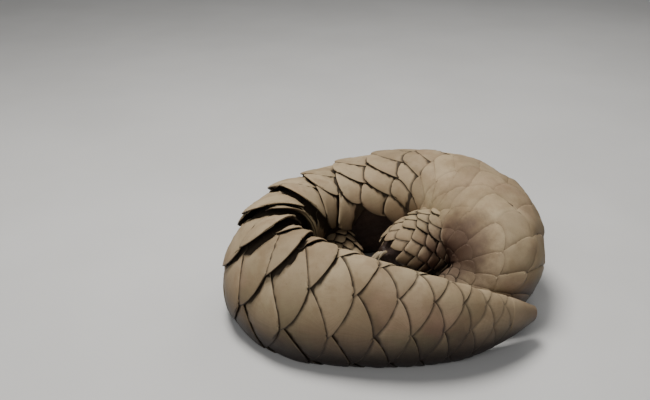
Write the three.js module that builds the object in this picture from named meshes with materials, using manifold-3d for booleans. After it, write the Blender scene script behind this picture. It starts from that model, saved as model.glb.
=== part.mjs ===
// A curled Indian pangolin, life size, lying on its left side with its tail wrapped round the front.
// Millimetres, +Z up, the floor at z = 0, and the origin under the middle of the ring that the body makes.
import * as THREE from "three";
import { mergeVertices } from "three/addons/utils/BufferGeometryUtils.js";
import Module from "manifold-3d";

const wasm = await Module();
wasm.setup();

const GAP = 0.3; // between neighbouring nodes
const SINK = 1.5; // how far the rounded underside would pass the floor, which makes its small flats
const LIFT = 3.2; // height of a scale's free edge over the next scale
const LIFT_SHARE = 0.085; // the same for small scales, as a share of their pitch
const STACK = 2.6; // rise of a standing scale over the one behind it
const ROOT = -1.2; // a scale's root lies this far under the skin
const THIN = 2.6; // thickness of a scale that stands off the skin
const MIDDLE = { x: 2.11, y: 19.95 }; // middle of the outline in the stations' frame; it becomes the origin
const radians = THREE.MathUtils.degToRad;

// Driving sizes of the body, station by station from the nose to the tail tip.
// x, y and z place the middle of the section. side is its half width across the animal, which stands
// upright here because the animal lies on its side. back and belly are its depths towards either.
// roll turns the back upwards, in degrees. rest is 1 where the underside lies on the floor.
// Scales: pitch from row to row, step in degrees from column to column, twist of all the columns
// round the body, limit in degrees from the midline of the back, tilt of their tips towards the belly,
// flare of the upper ones off the skin, relief, which is low where dust and wear have levelled them, and
// slant, the number of rows by which a row lies further ahead on the belly than on the back.
const STATIONS = [
  { name: "nose", x: 5, y: -56, z: 15, side: 10, back: 9, belly: 8, roll: 66, rest: 0.6 },
  { name: "muzzle", x: 29, y: -58, z: 20, side: 17, back: 17, belly: 13, roll: 66, rest: 0.9 },
  { name: "brow", x: 56, y: -60, z: 28, side: 27, back: 27, belly: 21, roll: 64, rest: 1 },
  { name: "nape", x: 85, y: -60, z: 40, side: 35, back: 35, belly: 28, roll: 58, rest: 1 },
  { name: "neck", x: 118, y: -52, z: 56, side: 46, back: 45, belly: 36, roll: 48, rest: 1 },
  { name: "shoulder", x: 139, y: -22, z: 76, side: 72, back: 72, belly: 62, roll: 44, rest: 1 },
  { name: "chest", x: 140, y: 46, z: 88, side: 84, back: 82, belly: 74, roll: 44, rest: 1 },
  { name: "back", x: 108, y: 104, z: 94, side: 84, back: 80, belly: 68, roll: 42, rest: 1 },
  { name: "loin", x: 50, y: 136, z: 92, side: 79, back: 74, belly: 58, roll: 40, rest: 1 },
  { name: "hip", x: -22, y: 132, z: 85, side: 75, back: 68, belly: 52, roll: 38, rest: 1 },
  { name: "rump", x: -92, y: 102, z: 80, side: 75, back: 60, belly: 46, roll: 34, rest: 1 },
  { name: "tail_root", x: -146, y: 44, z: 79, side: 79, back: 52, belly: 40, roll: 30, rest: 1 },
  { name: "tail_bend", x: -163, y: -34, z: 72, side: 75, back: 46, belly: 34, roll: 26, rest: 1 },
  { name: "tail_fore", x: -120, y: -100, z: 71, side: 76, back: 41, belly: 28, roll: 18, rest: 1 },
  { name: "tail_mid", x: -50, y: -131, z: 72, side: 73, back: 36, belly: 24, roll: 6, rest: 1 },
  { name: "tail_aft", x: 22, y: -141, z: 68, side: 64, back: 32, belly: 21, roll: -4, rest: 1 },
  { name: "tail_end", x: 90, y: -134, z: 57, side: 51, back: 26, belly: 17, roll: -8, rest: 0.8 },
  { name: "tail_point", x: 146, y: -114, z: 47, side: 33, back: 18, belly: 12, roll: -8, rest: 0 },
  { name: "tail_tip", x: 184, y: -94, z: 42, side: 12, back: 8, belly: 6, roll: -8, rest: 0 },
];
const COAT = [
  { name: "nose", pitch: 12, step: 22, twist: 0, limit: 60, tilt: 0, flare: 0, relief: 0.8, slant: 0 },
  { name: "muzzle", pitch: 13, step: 22, twist: 0, limit: 62, tilt: 0, flare: 0, relief: 0.8, slant: 0 },
  { name: "brow", pitch: 15, step: 21, twist: 0, limit: 66, tilt: 4, flare: 0, relief: 0.8, slant: 0 },
  { name: "nape", pitch: 20, step: 20, twist: 0, limit: 84, tilt: 8, flare: 0, relief: 0.8, slant: 0 },
  { name: "neck", pitch: 22.5, step: 20, twist: 0, limit: 104, tilt: 12, flare: 0, relief: 0.7, slant: 0 },
  { name: "shoulder", pitch: 40, step: 22, twist: 0, limit: 120, tilt: 14, flare: 0, relief: 0.35, slant: 0.1 },
  { name: "chest", pitch: 52, step: 22.5, twist: 0, limit: 126, tilt: 18, flare: 0, relief: 0.3, slant: 0.5 },
  { name: "back", pitch: 54, step: 22.5, twist: 0, limit: 132, tilt: 24, flare: 0.01, relief: 0.6, slant: 1.0 },
  { name: "loin", pitch: 60, step: 22.5, twist: 0, limit: 142, tilt: 30, flare: 0.05, relief: 1, slant: 1.4 },
  { name: "hip", pitch: 60, step: 22.5, twist: 0, limit: 146, tilt: 30, flare: 0.07, relief: 1, slant: 1.4 },
  { name: "rump", pitch: 58, step: 25, twist: 0, limit: 148, tilt: 26, flare: 0.09, relief: 1, slant: 1.2 },
  { name: "tail_root", pitch: 54, step: 34, twist: -10, limit: 180, tilt: 16, flare: 0.14, relief: 1, slant: 0.5 },
  { name: "tail_bend", pitch: 56, step: 42, twist: -22, limit: 220, tilt: 8, flare: 0.16, relief: 1, slant: 0 },
  { name: "tail_fore", pitch: 50, step: 45, twist: -22, limit: 220, tilt: 2, flare: 0.05, relief: 0.85, slant: 0 },
  { name: "tail_mid", pitch: 49, step: 44, twist: -13, limit: 220, tilt: 0, flare: 0, relief: 0.8, slant: 0 },
  { name: "tail_aft", pitch: 36.5, step: 43, twist: 0, limit: 220, tilt: 0, flare: 0, relief: 0.7, slant: 0 },
  { name: "tail_end", pitch: 29.5, step: 44, twist: 12, limit: 220, tilt: 0, flare: 0, relief: 0.5, slant: 0 },
  { name: "tail_point", pitch: 27, step: 45, twist: 14, limit: 220, tilt: 0, flare: 0, relief: 0.3, slant: 0 },
  { name: "tail_tip", pitch: 24, step: 45, twist: 14, limit: 220, tilt: 0, flare: 0, relief: 0.2, slant: 0 },
];

// The four legs, from inside the body to the end of the foot. Each has its foot from station 3 on.
const LIMB_COAT = { pitch: 21, step: 42, twist: 0, limit: 130, tilt: 0, flare: 0, relief: 1, slant: 0, rest: 0 };
const limbRow = (x, y, z, size, roll) => ({ x, y, z, side: size, back: size, belly: size, roll, ...LIMB_COAT });
const LIMBS = {
  fore_r: {
    stations: [
      limbRow(112, 42, 84, 38, 60),
      limbRow(77, 30, 86, 40, 60),
      limbRow(46, 15, 83, 38, 60),
      limbRow(20, 3, 84, 32, 60),
      limbRow(0, -4, 84, 20, 60),
    ],
    claws: { long: 34, down: 0.9, spread: 0.5 },
  },
  fore_l: {
    stations: [
      limbRow(104, 22, 31, 20, -40),
      limbRow(74, 16, 24, 18, -40),
      limbRow(44, 10, 21, 16, -40),
      limbRow(22, 6, 19, 15, -40),
      limbRow(6, 4, 17, 14, -40),
    ],
    claws: { long: 34, down: 0.35, spread: 0.5 },
  },
  hind_r: {
    stations: [
      limbRow(-84, 84, 54, 27, 50),
      limbRow(-62, 50, 47, 24, 50),
      limbRow(-52, 18, 38, 21, 50),
      limbRow(-47, -10, 30, 18, 50),
      limbRow(-42, -30, 23, 15, 50),
    ],
    claws: { long: 20, down: 0.5, spread: 0.6 },
  },
  hind_l: {
    stations: [
      limbRow(-118, 78, 32, 22, -50),
      limbRow(-106, 46, 23, 17, -50),
      limbRow(-94, 16, 21, 17, -50),
      limbRow(-84, -10, 18, 15, -50),
      limbRow(-74, -28, 15, 13, -50),
    ],
    claws: { long: 20, down: 0.3, spread: 0.6 },
  },
};

// Catmull-Rom through rows of numbers: u counts rows, so 2.5 lies between the third and the fourth.
function blend(rows, u) {
  const i = Math.min(Math.max(Math.floor(u), 0), rows.length - 2);
  const f = u - i;
  const row = (k) => rows[Math.min(Math.max(k, 0), rows.length - 1)];
  const [p0, p1, p2, p3] = [row(i - 1), row(i), row(i + 1), row(i + 2)];
  const mix = (a, b, c, d) =>
    0.5 * (2 * b + (c - a) * f + (2 * a - 5 * b + 4 * c - d) * f * f + (3 * b - a - 3 * c + d) * f ** 3);
  const keys = Object.keys(p1).filter((key) => typeof p1[key] === "number");
  return Object.fromEntries(keys.map((key) => [key, mix(p0[key], p1[key], p2[key], p3[key])]));
}

const UP = new THREE.Vector3(0, 0, 1);
function makeTube(rows) {
  const frames = new Map();
  function frame(u) {
    const key = Math.round(u * 1e4);
    if (frames.has(key)) return frames.get(key);
    const step = 0.02;
    const size = blend(rows, u);
    const [before, after] = [blend(rows, u - step), blend(rows, u + step)];
    const tailwards = new THREE.Vector3(after.x - before.x, after.y - before.y, after.z - before.z);
    const speed = tailwards.length() / (2 * step);
    tailwards.normalize();
    const outwards = new THREE.Vector3().crossVectors(tailwards, UP).normalize();
    const upwards = new THREE.Vector3().crossVectors(outwards, tailwards);
    const roll = radians(size.roll);
    const back = outwards.clone().multiplyScalar(Math.cos(roll)).addScaledVector(upwards, Math.sin(roll));
    const side = upwards.clone().multiplyScalar(Math.cos(roll)).addScaledVector(outwards, -Math.sin(roll));
    const middle = new THREE.Vector3(size.x, size.y, size.z);
    const drop = Math.hypot(back.z * size.belly, side.z * size.side);
    const sag = 1 + size.rest * ((size.z + SINK) / drop - 1);
    const made = { size, speed, middle, tailwards, back, side, sag };
    frames.set(key, made);
    return made;
  }
  // A point of the skin: angle 0 is the midline of the back, +90 degrees the upper flank, 180 the belly.
  // The lower half is drawn down to the floor by the animal's weight.
  function skin(u, angle, height = 0) {
    const { size, middle, back, side, sag } = frame(u);
    const c = Math.cos(angle);
    const s = Math.sin(angle);
    const depth = c > 0 ? size.back : size.belly;
    const normal = new THREE.Vector2(c / depth, s / size.side).normalize();
    const point = middle
      .clone()
      .addScaledVector(back, depth * c + normal.x * height)
      .addScaledVector(side, size.side * s + normal.y * height);
    if (point.z < middle.z) point.z = middle.z + (point.z - middle.z) * sag;
    return point;
  }
  // Millimetres of skin per unit of u, and per radian of angle.
  function stretch(u, angle) {
    const e = 0.03;
    const along = skin(u + e, angle).distanceTo(skin(u - e, angle)) / (2 * e);
    const around = skin(u, angle + e).distanceTo(skin(u, angle - e)) / (2 * e);
    return { along, around };
  }
  return { rows, frame, skin, stretch, last: rows.length - 1 };
}

function solidFrom(position, index) {
  const vertProperties = new Float32Array(position);
  const made = new wasm.Manifold(
    new wasm.Mesh({ numProp: 3, vertProperties, triVerts: new Uint32Array(index) }),
  );
  if (made.volume() < 0) throw new Error("a surface faces inwards");
  return made;
}
const solidFromGeometry = (geometry) => {
  const bare = new THREE.BufferGeometry();
  bare.setAttribute("position", geometry.getAttribute("position"));
  bare.setIndex(geometry.getIndex());
  const merged = mergeVertices(bare, 1e-4);
  return solidFrom(merged.getAttribute("position").array, merged.getIndex().array);
};

// Rings of points from a first end point to a last one, closed to a solid.
function solidOfRings(rings, start, end) {
  const round = rings[0].length;
  const position = rings.flat().flatMap((point) => point.toArray());
  const first = position.length / 3;
  position.push(...start.toArray(), ...end.toArray());
  const index = [];
  for (let j = 0; j < round; j++) {
    const k = (j + 1) % round;
    for (let i = 0; i + 1 < rings.length; i++) {
      const [a, b, c, d] = [i * round + j, i * round + k, (i + 1) * round + j, (i + 1) * round + k];
      index.push(a, c, b, b, c, d);
    }
    const base = (rings.length - 1) * round;
    index.push(first, j, k, first + 1, base + k, base + j);
  }
  return solidFrom(position, index);
}

// Rows of scales: phase counts them along a tube, so a scale's tip is at a whole phase in every other
// column and half a phase further in the columns between.
function makePhases(tube, coatAt) {
  const step = 0.01;
  const table = [];
  let phase = 0;
  for (let u = 0; u <= tube.last + 1.5; u += step) {
    table.push(phase);
    phase += (tube.frame(u).speed * step) / coatAt(u).pitch;
  }
  const phaseAt = (u) => {
    const k = Math.min(Math.max(u / step, 0), table.length - 1.001);
    const i = Math.floor(k);
    return table[i] + (table[i + 1] - table[i]) * (k - i);
  };
  const placeOf = (wanted) => {
    const after = table.findIndex((value) => value > wanted);
    if (after === 0) return wanted / (table[1] / step);
    return step * (after - 1 + (wanted - table[after - 1]) / (table[after] - table[after - 1]));
  };
  return { phaseAt, placeOf };
}

// Phase at which a scale of a row lies, since the rows slant ahead down both flanks.
const slanted = (phase, angle, coat) => phase - (coat.slant * (1 - Math.cos(angle))) / 2;

// One closed skin of overlapping scales. Each scale shows as a rhomb between its own tip, the tips
// of its two neighbours and the tip of the scale behind it. Its free edge stands up on a low wall,
// bulged to a rounded point. Bare places carry the same rhombs without the walls.
function scaledSkin(tube, phases, { from, to, columns, coatAt, isBare, open = 0, fine = false }) {
  const first = from <= 0 ? 1 : Math.floor(phases.phaseAt(from) + 0.3);
  const beyondEnd = Math.ceil(phases.phaseAt(to) + coatAt(to).slant + 0.2);
  const last = to >= tube.last ? Math.floor(phases.phaseAt(tube.last) - 0.5) : beyondEnd;
  const step = (2 * Math.PI) / columns;
  const position = [];
  const known = new Map();
  const places = [];
  const odd = (j) => Math.abs(j % 2);
  const wrap = (j) => ((j % columns) + columns) % columns;
  const signed = (j) => (wrap(j) > columns / 2 ? wrap(j) - columns : wrap(j));
  const tipPhase = (i, j) => i + 0.5 * odd(j);
  function vertex(key, phase, column, height) {
    if (!known.has(key)) {
      known.set(key, position.length / 3);
      places.push({ phase, column, height });
      const u = placeAt(phase, column);
      position.push(...tube.skin(u, column * step + twistAt(u), height).toArray());
    }
    return known.get(key);
  }
  const twistAt = (u) => radians(coatAt(u).twist);
  const placeAt = (phase, column) => {
    const straight = phases.placeOf(phase);
    return phases.placeOf(slanted(phase, column * step + twistAt(straight), coatAt(straight)));
  };
  const bare = (i, j) => {
    const u = placeAt(tipPhase(i, j) - 0.5, j);
    return isBare(u, signed(j) * step + twistAt(u));
  };
  const lift = (i, j) => {
    const { pitch, relief } = coatAt(phases.placeOf(tipPhase(i, j)));
    return Math.min(LIFT, LIFT_SHARE * pitch) * relief;
  };
  const low = (i, j) => vertex(`low ${i} ${wrap(j)}`, tipPhase(i, j), j, 0);
  const high = (i, j) =>
    bare(i, j) ? low(i, j) : vertex(`high ${i} ${wrap(j)}`, tipPhase(i, j) + 0.1, j, lift(i, j));
  const middleLow = (i, j, side) => {
    const bulge = bare(i, j) ? 0 : 1;
    const phase = tipPhase(i, j) - 0.25 + 0.06 * bulge;
    return vertex(`edge ${i} ${wrap(j)} ${side}`, phase, j + side * (0.5 + 0.06 * bulge), 0);
  };
  const middleHigh = (i, j, side) => {
    if (bare(i, j)) return middleLow(i, j, side);
    const phase = tipPhase(i, j) - 0.25 + 0.12;
    return vertex(`rim ${i} ${wrap(j)} ${side}`, phase, j + side * 0.58, 0.92 * lift(i, j));
  };
  const centre = (i, j) => {
    const height = bare(i, j) ? 0 : 0.5 * lift(i, j) + 0.5;
    return vertex(`centre ${i} ${wrap(j)}`, tipPhase(i, j) - 0.5, j, height);
  };
  // Scales that reach far round the body bend at a ring of places halfway to their middle.
  const halfway = (key, a, j, middle) => {
    const [from, to] = [places[a], places[middle]];
    const turns = Math.round((from.column - j) / columns) * columns;
    const column = (from.column - turns + to.column) / 2;
    return vertex(`half ${key}`, (from.phase + to.phase) / 2, column, (from.height + to.height) / 2 + 0.3);
  };
  // The scale before this one in the column to the left or right, whose free edge crosses its back.
  const behind = (i, j, side) => [odd(j) ? i : i - 1, j + side];
  const index = [];
  const face = (a, b, c) => {
    if (a !== b && b !== c && c !== a) index.push(a, b, c);
  };
  for (let i = first; i <= last; i++) {
    for (let j = 0; j < columns; j++) {
      const [left, right] = [behind(i, j, -1), behind(i, j, 1)];
      const ring = [
        high(i, j),
        middleHigh(i, j, 1),
        low(...right),
        middleLow(...right, -1),
        low(i - 1, j),
        middleLow(...left, 1),
        low(...left),
        middleHigh(i, j, -1),
      ];
      const middle = centre(i, j);
      const inner = fine && ring.map((a, k) => halfway(`${i} ${j} ${k}`, a, j, middle));
      ring.forEach((a, k) => {
        const next = (k + 1) % ring.length;
        if (!inner) return face(a, ring[next], middle);
        face(a, ring[next], inner[k]);
        face(inner[k], ring[next], inner[next]);
        return face(inner[k], inner[next], middle);
      });
      const walled = !bare(i, j) && !(i === last && odd(j));
      if (!walled) continue;
      for (const [side, beside] of [[1, right], [-1, left]]) {
        const wall = [high(i, j), low(i, j), middleLow(i, j, side), middleHigh(i, j, side), low(...beside)];
        const [a, b, c, d, e] = wall;
        const add = (p, q, r) => (side > 0 ? face(p, q, r) : face(p, r, q));
        add(a, b, c);
        add(a, c, d);
        add(d, c, e);
      }
    }
  }
  const { middle: nose, tailwards: noseways } = tube.frame(phases.placeOf(first - 1));
  const { middle: end, tailwards: endways } = tube.frame(phases.placeOf(last + 0.5));
  const start = position.length / 3;
  position.push(...nose.clone().addScaledVector(noseways, -open).toArray());
  position.push(...end.clone().addScaledVector(endways, open).toArray());
  for (let j = 0; j < columns; j++) {
    if (!odd(j)) {
      for (const side of [-1, 1]) {
        const [a, b, c] = [low(first - 1, j), middleLow(first - 1, j + side, -side), low(first - 1, j + side)];
        if (side > 0) {
          face(start, a, b);
          face(start, b, c);
        } else {
          face(start, b, a);
          face(start, c, b);
        }
      }
    } else {
      for (const side of [-1, 1]) {
        const [a, b, c] = [high(last, j), middleHigh(last, j, side), low(last, j + side)];
        if (side > 0) {
          face(start + 1, b, a);
          face(start + 1, c, b);
        } else {
          face(start + 1, a, b);
          face(start + 1, b, c);
        }
      }
    }
  }
  return solidFrom(position, index);
}

// A smooth tube with rounded ends.
function smoothTube(tube, from, to, steps, round, grow = 0) {
  const ring = (u, scale = 1, ahead = 0) => {
    const { middle, tailwards } = tube.frame(u);
    return Array.from({ length: round }, (_, j) => {
      const point = tube.skin(u, (2 * Math.PI * j) / round, grow);
      return point.sub(middle).multiplyScalar(scale).add(middle).addScaledVector(tailwards, ahead);
    });
  };
  const bulge = (u) => 0.5 * Math.min(tube.frame(u).size.side, tube.frame(u).size.belly);
  const tip = (u, sign) => {
    const { middle, tailwards } = tube.frame(u);
    return middle.clone().addScaledVector(tailwards, sign * bulge(u));
  };
  const rings = [ring(from, 0.66, -0.72 * bulge(from))];
  for (let i = 0; i <= steps; i++) rings.push(ring(from + ((to - from) * i) / steps));
  rings.push(ring(to, 0.66, 0.72 * bulge(to)));
  return solidOfRings(rings, tip(from, -1), tip(to, 1));
}

// Outline of a scale from root to tip: places along its length, half widths, and the places across
// at which it bends, all as shares. Scales that reach far round the body bend at more places.
const SCALE_TIP = 0.52;
const SCALE_ROWS = [
  { at: -0.5, wide: 0.62, narrow: [-1, 1], broad: [-1, 0, 1] },
  { at: 0.06, wide: 1, narrow: [-1, 0, 1], broad: [-1, -0.5, 0, 0.5, 1] },
  { at: 0.36, wide: 0.66, narrow: [-1, 1], broad: [-1, 0, 1] },
  { at: SCALE_TIP, wide: 0, narrow: [0], broad: [0] },
];
const SCALE_LENGTH = 1.62; // in pitches
const BROAD_STEP = 30; // degrees

function standingScale(tube, spot) {
  const { coat } = spot;
  const { along: measured, around } = tube.stretch(spot.u, spot.angle);
  const { speed } = tube.frame(spot.u);
  const along = Math.max(measured, 0.5 * speed);
  const length = SCALE_LENGTH * coat.pitch;
  const half = 0.9 * spot.step * around;
  const pitchHere = (coat.pitch * along) / speed;
  const slope = Math.min(STACK / pitchHere + coat.flare * Math.max(Math.sin(spot.angle), 0), 0.5);
  const tilt = radians(coat.tilt) * Math.sin(spot.angle);
  const put = (p, q, height) => {
    const ahead = p * Math.cos(tilt) - q * Math.sin(tilt);
    const aside = p * Math.sin(tilt) + q * Math.cos(tilt);
    return tube.skin(spot.u + ahead / along, spot.angle + aside / around, height);
  };
  const top = (p) => ROOT + slope * (p + length / 2);
  const under = (p) => top(p) - THIN;
  const rows = SCALE_ROWS.map((row) => {
    const shares = spot.step > radians(BROAD_STEP) ? row.broad : row.narrow;
    return shares.map((share) => ({ share, p: row.at * length, q: share * row.wide * half }));
  });
  const places = rows.flat();
  const count = places.length;
  const position = [];
  for (const { p, q } of places) position.push(...put(p, q, top(p)).toArray());
  for (const { p, q } of places) position.push(...put(p, q, under(p)).toArray());
  const index = [];
  const face = (a, b, c) => index.push(a, b, c, a + count, c + count, b + count);
  const left = [];
  const right = [];
  let start = 0;
  rows.forEach((row, r) => {
    left.push(start);
    if (row.length > 1) right.push(start + row.length - 1);
    const next = rows[r + 1];
    if (!next) return;
    // Zip this row to the next one.
    let i = 0;
    let j = 0;
    while (i < row.length - 1 || j < next.length - 1) {
      const [a, b] = [start + i, start + row.length + j];
      const rowFirst = j === next.length - 1 || (i < row.length - 1 && row[i + 1].share < next[j + 1].share);
      if (rowFirst) {
        face(a, b, a + 1);
        i += 1;
      } else {
        face(a, b, b + 1);
        j += 1;
      }
    }
    start += row.length;
  });
  const root = rows[0].slice(1, -1).map((_, i) => i + 1);
  const rim = [...left, ...right.reverse(), ...root.reverse()];
  rim.forEach((a, i) => {
    const b = rim[(i + 1) % rim.length];
    index.push(a, a + count, b, b, a + count, b + count);
  });
  return solidFrom(position, index);
}

const body = makeTube(STATIONS);
const coatAt = (u) => blend(COAT, u);

const EYE = { u: 1.42, angle: radians(66), radius: 4.2, sunk: 1.4, lid: [8, 6.6, 2.8] };
const EAR = { u: 2.42, angle: radians(80), radii: [5, 9, 4.5], hollow: [4, 7, 4], sunk: 0.5 };
const FACE = [
  { u: EYE.u, angle: EYE.angle, clear: 11 },
  { u: EYE.u, angle: -EYE.angle, clear: 11 },
  { u: EAR.u, angle: EAR.angle, clear: 13 },
  { u: EAR.u, angle: -EAR.angle, clear: 13 },
].map((place) => ({ ...place, point: body.skin(place.u, place.angle) }));
const isBare = (u, angle) => {
  if (u < 0.8 || Math.abs(angle) > radians(coatAt(u).limit)) return true;
  if (u > 3) return false;
  const point = body.skin(u, angle);
  return FACE.some((place) => place.point.distanceTo(point) < place.clear);
};
const phases = makePhases(body, coatAt);

const BROAD_COLUMNS = 12; // with so few columns, each scale bends round the body

// Nodes along the body: name, first and last place, and columns of scales all round.
const NODES = [
  ["head", 0, 3, 18],
  ["neck", 3, 4.6, 18],
  ["shoulder", 4.6, 5.9, 16],
  ["chest", 5.9, 7, 16],
  ["trunk", 7, 8.2, 16],
  ["loin", 8.2, 9.4, 16],
  ["rump", 9.4, 10.9, 16],
  ["tail_root", 10.9, 12.2, 10],
  ["tail_fore", 12.2, 13.8, 8],
  ["tail_mid", 13.8, 15.4, 8],
  ["tail_end", 15.4, 18, 8],
];

// A block that fills everything beyond a section of the tube, on the side that sign names.
function beyond(tube, u, sign) {
  const reach = 190;
  const { middle, tailwards, side } = tube.frame(u);
  const geometry = new THREE.BoxGeometry(2 * reach, 2 * reach, reach);
  const away = tailwards.clone().multiplyScalar(sign);
  const turn = new THREE.Matrix4().makeBasis(side, new THREE.Vector3().crossVectors(away, side), away);
  const place = middle.clone().addScaledVector(away, reach / 2 - GAP / 2);
  geometry.applyMatrix4(turn.setPosition(place));
  return solidFromGeometry(geometry);
}
const floor = solidFromGeometry(new THREE.BoxGeometry(1200, 1200, 200).translate(0, 0, -100));
const largest = (solid) => solid.decompose().sort((a, b) => b.volume() - a.volume())[0];
const union = (solids) => wasm.Manifold.union(solids);

// An ellipsoid with its own x, y and z axes given as directions.
function ellipsoid(middle, radii, axes, round = 12, high = 8) {
  const geometry = new THREE.SphereGeometry(1, round, high);
  const matrix = new THREE.Matrix4().makeBasis(...axes).scale(new THREE.Vector3(...radii));
  return solidFromGeometry(geometry.applyMatrix4(matrix.setPosition(middle)));
}
// Directions at a place of the skin: tailwards along it, across it, and out of it.
function axesAt(tube, u, angle) {
  const e = 0.02;
  const ahead = tube.skin(u + e, angle).sub(tube.skin(u - e, angle)).normalize();
  const out = tube.skin(u, angle, 1).sub(tube.skin(u, angle)).normalize();
  const across = new THREE.Vector3().crossVectors(out, ahead).normalize();
  ahead.crossVectors(across, out);
  return [ahead, across, out];
}
// A round bar that tapers along a bent line, for claws, lids and lips.
function bar(points, radii, round = 6) {
  const rings = points.slice(1, -1).map((point, i) => {
    const ahead = points[i + 2].clone().sub(points[i]).normalize();
    const a = new THREE.Vector3().crossVectors(ahead, Math.abs(ahead.z) > 0.8 ? new THREE.Vector3(1, 0, 0) : UP);
    a.normalize();
    const b = new THREE.Vector3().crossVectors(a, ahead);
    return Array.from({ length: round }, (_, j) => {
      const turn = (2 * Math.PI * j) / round;
      const [c, s] = [radii[i] * Math.cos(turn), radii[i] * Math.sin(turn)];
      return point.clone().addScaledVector(a, c).addScaledVector(b, s);
    });
  });
  return solidOfRings(rings, points[0], points[points.length - 1]);
}

const solids = new Map();

// Legs: a tube with small scales, parted from its foot above the claws.
const LIMB_ROUND = 10;
const LIMB_COLUMNS = 8;
const WRIST = 3.2;
const limbs = Object.entries(LIMBS).map(([name, { stations, claws }]) => {
  const tube = makeTube(stations);
  const limbCoat = (u) => blend(stations, u);
  const skin = scaledSkin(tube, makePhases(tube, limbCoat), {
    from: 0,
    to: WRIST,
    columns: LIMB_COLUMNS,
    coatAt: limbCoat,
    isBare: (u, angle) => u < 0.6 || Math.abs(angle) > radians(LIMB_COAT.limit),
    open: 4,
  });
  const pad = smoothTube(tube, 2.9, tube.last, 2, LIMB_ROUND, -0.6);
  const { middle, tailwards, side, back, size } = tube.frame(tube.last);
  const digits = [-1, -0.5, 0, 0.5, 1].map((place) => {
    const long = claws.long * (1 - 0.55 * Math.abs(place) ** 1.5);
    const width = Math.max(5 - 1.6 * Math.abs(place), 3);
    const start = middle.clone().addScaledVector(side, 0.66 * size.side * place);
    const ahead = tailwards.clone().addScaledVector(side, claws.spread * place * 0.4).normalize();
    const points = [-0.1, 0.1, 0.5, 0.8, 1].map((t) =>
      start
        .clone()
        .addScaledVector(ahead, long * t)
        .addScaledVector(back, 2 + 3 * Math.sin(Math.PI * t))
        .addScaledVector(UP, -claws.down * long * t * t),
    );
    return bar(points, [width, 0.75 * width, 0.4 * width], 5);
  });
  const reach = 60;
  const block = (sign) => {
    const { middle: at, tailwards: along, side: up } = tube.frame(WRIST);
    const away = along.clone().multiplyScalar(sign);
    const geometry = new THREE.BoxGeometry(2 * reach, 2 * reach, 3 * reach);
    const turn = new THREE.Matrix4().makeBasis(up, new THREE.Vector3().crossVectors(away, up), away);
    const place = at.clone().addScaledVector(away, 1.5 * reach - GAP / 2);
    return solidFromGeometry(geometry.applyMatrix4(turn.setPosition(place)));
  };
  return {
    name,
    leg: skin.subtract(block(1)),
    foot: union([pad, ...digits]).subtract(block(-1)),
    outwards: tube.frame(1).tailwards,
  };
});

// Scales of the rump, tail root and bend that stand off the body like slats.
const STANDING = { from: 10.3, to: 12.9, low: radians(40), high: radians(150) };
function standingScales(from, to, columns) {
  const step = (2 * Math.PI) / columns;
  const made = [];
  const firstRow = Math.floor(phases.phaseAt(from - 0.9));
  const lastRow = Math.ceil(phases.phaseAt(to + 0.6) + coatAt(to).slant);
  for (let i = firstRow; i <= lastRow; i++) {
    for (let j = 0; j < columns / 2; j++) {
      const straight = phases.placeOf(i + 0.5 * (j % 2));
      const angle = j * step + radians(coatAt(straight).twist);
      const phase = slanted(i + 0.5 * (j % 2), angle, coatAt(straight));
      const tip = phases.placeOf(phase);
      const u = phases.placeOf(phase - SCALE_TIP * SCALE_LENGTH);
      if (tip < STANDING.from || tip > STANDING.to) continue;
      if (angle < STANDING.low || angle > STANDING.high) continue;
      if (tip < from - 0.2 || u > to) continue;
      made.push(standingScale(body, { u, angle, step, coat: coatAt(tip) }));
    }
  }
  return made;
}

// Face: lids round the eyes, cupped ears, a mouth line with lips, and nostrils.
const MOUTH = { from: 0.12, to: 0.95, angle: radians(126), width: 0.9, lip: 1.7, above: radians(11) };
const NOSTRIL = { aside: 3.6, radii: [2.6, 1.5, 2] };
const face = [1, -1].map((hand) => {
  const eyeAxes = axesAt(body, EYE.u, hand * EYE.angle);
  const eyePoint = body.skin(EYE.u, hand * EYE.angle);
  const eyeMiddle = eyePoint.clone().addScaledVector(eyeAxes[2], -EYE.sunk);
  const ball = (grow) => ellipsoid(eyeMiddle, [1, 1, 1].map((one) => one * (EYE.radius + grow)), eyeAxes, 12, 8);
  const earAxes = axesAt(body, EAR.u, hand * EAR.angle);
  const earMiddle = body.skin(EAR.u, hand * EAR.angle).addScaledVector(earAxes[2], -EAR.sunk);
  const shell = (grow) => ellipsoid(earMiddle, EAR.radii.map((r) => r + grow), earAxes, 12, 6);
  const open = earMiddle.clone().addScaledVector(earAxes[2], 3.4).addScaledVector(earAxes[0], -1.6);
  const ear = shell(0).subtract(ellipsoid(open, EAR.hollow, earAxes, 10, 6));
  const along = (angle, height) =>
    Array.from({ length: 7 }, (_, k) =>
      body.skin(MOUTH.from + ((MOUTH.to - MOUTH.from) * k) / 6, hand * angle, height),
    );
  const { middle, tailwards, side, back } = body.frame(0);
  const nostril = middle
    .clone()
    .addScaledVector(side, hand * NOSTRIL.aside)
    .addScaledVector(back, 2)
    .addScaledVector(tailwards, -3.4);
  return {
    ball,
    ear,
    raised: [
      ellipsoid(eyePoint, EYE.lid, eyeAxes, 12, 6),
      bar(along(MOUTH.angle - MOUTH.above, -0.4), Array(5).fill(MOUTH.lip), 5),
    ],
    cut: [
      ball(GAP),
      shell(GAP),
      bar(along(MOUTH.angle, 0), Array(5).fill(MOUTH.width), 5),
      ellipsoid(nostril, NOSTRIL.radii, [tailwards, side, back], 8, 6),
    ],
  };
});
for (const [k, side] of ["r", "l"].entries()) {
  solids.set(`eye_${side}`, face[k].ball(0));
  solids.set(`ear_${side}`, largest(face[k].ear));
}

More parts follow.
